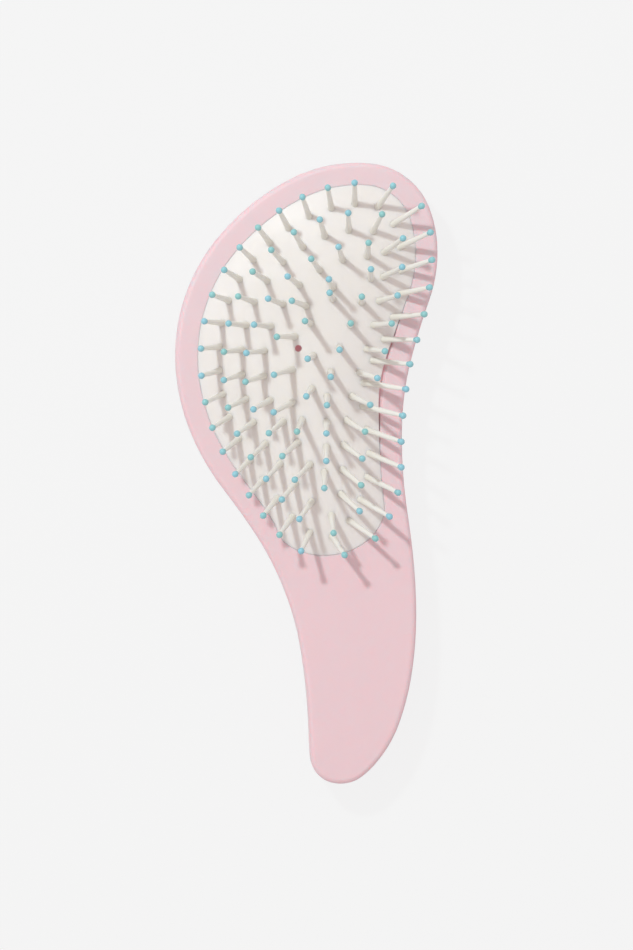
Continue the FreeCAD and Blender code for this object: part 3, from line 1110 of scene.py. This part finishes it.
@dataclass
class PinField:
    """Every pin and ball tip, on the axes of the CAD's own solids."""

    pin_length: float = 15.6 * MM
    foot_radius: float = 0.95 * MM
    end_radius: float = 0.62 * MM
    head_radius: float = 1.3 * MM
    head_depth: float = 1.0 * MM
    tip_radius: float = 1.01 * MM
    tip_cover: float = 0.35 * MM
    same_row: float = 0.01 * MM
    sides: int = 12
    smooth_degrees: float = 50.0
    seed: int = 11

    def __post_init__(self) -> None:
        """Model one pin and one tip to copy."""
        self.random = random.Random(self.seed)
        self.stem = self.make_stem()
        self.ball = self.make_ball()

    def make_stem(self) -> Mesh:
        """Turn a pin that stands on its foot at height 0.

        Returns:
            Its mesh.
        """
        foot, end = self.foot_radius, self.end_radius
        profile = [(-self.head_depth, self.head_radius), (-0.55 * MM, foot), (0.0, foot * 1.14),
                   (0.35 * MM, foot), (self.pin_length * 0.45, foot * 0.86),
                   (self.pin_length, end)]
        return turned(profile, self.sides)

    def make_ball(self) -> Mesh:
        """Turn a ball tip about the origin, with a small collar where the pin enters it.

        Returns:
            Its mesh.
        """
        radius = self.tip_radius
        profile = [(-1.06 * radius, self.end_radius * 1.14)]
        for degrees in (-50, -25, 0, 25, 50, 75):
            turn = math.radians(degrees)
            profile.append((radius * math.sin(turn), radius * math.cos(turn)))
        return turned(profile, self.sides)

    def stations(self, node: str) -> list[Station]:
        """Read where the pins of a CAD node stand.

        Args:
            node: The node's name.

        Returns:
            One station for each pin.
        """
        mesh = read_node(node)
        left = set(mesh.verts)
        found = []
        while left:
            island = set()
            front = {left.pop()}
            while front:
                corner = front.pop()
                island.add(corner)
                left.discard(corner)
                front |= {edge.other_vert(corner) for edge in corner.link_edges} - island
            corners = sorted(island, key=lambda corner: corner.index)
            found.append(self.station_of([corner.co.copy() for corner in corners]))
        mesh.free()
        found.sort(key=lambda station: (round(station.head.y / self.same_row), station.head.x))
        return found

    def station_of(self, corners: list[Vector]) -> Station:
        """Work out a pin's axis from the corners of its three rings.

        Args:
            corners: The corners of one pin.

        Returns:
            Its station.
        """
        low, high = max(((near, far) for near in corners for far in corners),
                        key=lambda pair: (pair[0] - pair[1]).length)
        if low.z > high.z:
            low, high = high, low
        axis = (high - low).normalized()
        rows = sorted(corners, key=lambda corner: (corner - low).dot(axis))
        count = len(rows) // 3
        for _ in range(2):
            head = sum(rows[:count], Vector()) / count
            end = sum(rows[-count:], Vector()) / count
            axis = (end - head).normalized()
            rows.sort(key=lambda corner: (corner - head).dot(axis))
        return Station(head, end)

    def placed(self, look: PinLook, station: Station) -> Object:
        """Copy the model pin or tip onto a station.

        Args:
            look: Which of the two.
            station: Where the pin stands.

        Returns:
            The new object.
        """
        mesh = (self.stem if look is PinLook.STEM else self.ball).copy()
        direction = station.direction
        turn = Vector((0, 0, 1)).rotation_difference(direction)
        if look is PinLook.STEM:
            root = station.end - direction * self.pin_length
            depth = (root - station.head).length / self.head_depth
            heights = [corner.co.z for corner in mesh.vertices]
            write_numbers(mesh, "along", [max(height, 0.0) / self.pin_length for height in heights])
            for corner, height in zip(mesh.vertices, heights):
                corner.co.z = height * depth if height < 0 else height
        else:
            root = station.end - direction * self.tip_cover
            write_numbers(mesh, "tint", [self.random.random()] * len(mesh.vertices))
        for corner in mesh.vertices:
            corner.co = turn @ corner.co + root
        return add_object("part_of_row", mesh)

    def build(self, node: str, look: PinLook) -> Object:
        """Make the round pins or tips that stand for a CAD node.

        Args:
            node: The node's name.
            look: Pins or tips.

        Returns:
            One piece with all of them.
        """
        stem_node = node.replace(PinLook.TIP.value, PinLook.STEM.value)
        pieces = [self.placed(look, station) for station in self.stations(stem_node)]
        bpy.ops.object.select_all(action="DESELECT")
        for piece in pieces:
            piece.select_set(True)
        bpy.context.view_layer.objects.active = pieces[0]
        bpy.ops.object.join()
        joined = bpy.context.active_object
        joined.name = node + "_round"
        use_only(joined)
        bpy.ops.object.shade_smooth_by_angle(angle=math.radians(self.smooth_degrees))
        return joined


# ---- the studio

@dataclass
class Studio:
    """The table, the lights and the camera."""

    table_size: float = 6.0
    table_gap: float = 0.03 * MM
    sensor: float = 36.0
    view_height: float = 0.2835
    distance: float = 2.6
    tilt: Pair = (-0.030, 0.035)
    aim: tuple[float, float, float] = (3.13 * MM, -0.6 * MM, 10 * MM)
    key_direction: tuple[float, float, float] = (-0.375, 0.475, 0.80)
    key_distance: float = 1.5
    key_size: float = 0.10
    key_share: float = 0.36
    sky_share: float = 0.622
    key_colour: tuple[float, float, float] = (0.92, 1.02, 1.02)
    sky_colour: Colour = (1.06, 0.985, 0.985, 1.0)

    def build(self) -> None:
        """Set up everything round the brush."""
        self.add_table()
        self.add_lights()
        self.add_camera()
        bpy.context.scene.view_settings.view_transform = "Standard"

    def add_table(self) -> None:
        """Lay the table just under the brush."""
        bpy.ops.mesh.primitive_plane_add(size=self.table_size, location=(0, 0, -self.table_gap))
        table = bpy.context.active_object
        table.name = "table"
        table.data.materials.append(PaleTable().make())

    def add_lights(self) -> None:
        """Hang the key light to the upper left and fill the room with even light."""
        aim = Vector(self.aim)
        away = Vector(self.key_direction).normalized()
        lamp = bpy.data.lights.new("key", "AREA")
        lamp.shape = "DISK"
        lamp.size = self.key_size
        lamp.color = self.key_colour
        lamp.energy = self.key_share * math.pi ** 2 * self.key_distance ** 2 / away.z
        key = add_object("key", lamp)
        key.location = aim + away * self.key_distance
        key.rotation_euler = away.to_track_quat("Z", "Y").to_euler()
        world = bpy.data.worlds.new("room")
        world.use_nodes = True
        sky = world.node_tree.nodes["Background"].inputs
        sky["Color"].default_value = self.sky_colour
        sky["Strength"].default_value = self.sky_share
        bpy.context.scene.world = world

    def add_camera(self) -> None:
        """Hang the camera almost straight above the brush."""
        aim = Vector(self.aim)
        away = Vector((self.tilt[0], self.tilt[1], 1.0)).normalized()
        lens = bpy.data.cameras.new("camera")
        lens.sensor_fit = "VERTICAL"
        lens.sensor_height = self.sensor
        lens.lens = self.sensor * self.distance / self.view_height
        camera = add_object("camera", lens)
        camera.location = aim + away * self.distance
        across = Vector((0, 1, 0)).cross(away).normalized()
        turn = Matrix((across, away.cross(across), away)).transposed()
        camera.rotation_euler = turn.to_euler()
        bpy.context.scene.camera = camera


# ---- assembly

@dataclass
class Brush:
    """The whole brush: two shells, the cushion, and the rows of pins and tips."""

    effects: SharedEffects = field(default_factory=SharedEffects)

    def take(self, piece: Object, node: str, body: str,
             material: Material) -> None:
        """Dress a piece and let it stand for its CAD node.

        Args:
            piece: The finished piece.
            node: The CAD node that it replaces.
            body: The body that it rides on.
            material: Its material.
        """
        piece.data.materials.clear()
        piece.data.materials.append(material)
        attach(piece, body)
        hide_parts(node)
        log.info("%s: %d faces on %s", piece.name, len(piece.data.polygons), body)

    def build_shells(self) -> None:
        """Finish both shells."""
        pink = SoftTouchPink().make(self.effects)
        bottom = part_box("back_shell")[0][2]
        parting = bottom + (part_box("front_shell")[1][2] - bottom) * 0.5
        for shell in (BackShell("back_shell", parting), FrontShell("front_shell", parting)):
            self.take(shell.build(), shell.node, BODY, pink)

    def build_cushion(self) -> None:
        """Make the cushion and give it a mesh of its own."""
        cushion = Cushion()
        piece = cushion.build()
        self.take(piece, "cushion", BODY, CushionRubber().make(self.effects))
        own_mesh(piece)

    def build_pins(self) -> None:
        """Make every row of pins and tips."""
        nylon = PinNylon().make(self.effects)
        gloss = TipGloss().make(self.effects)
        rows = PinField()
        for node in frame["record"]["behaviour"]["bodies"][PIN_BODY]:
            if PinLook.TIP.value in node:
                self.take(rows.build(node, PinLook.TIP), node, PIN_BODY, gloss)
            else:
                self.take(rows.build(node, PinLook.STEM), node, PIN_BODY, nylon)


def main() -> None:
    """Build the brush and the studio round it."""
    logging.basicConfig(level=logging.INFO, format="%(name)s: %(message)s")
    brush = Brush()
    brush.build_shells()
    brush.build_cushion()
    brush.build_pins()
    Studio().build()


if __name__ == "__main__":
    main()
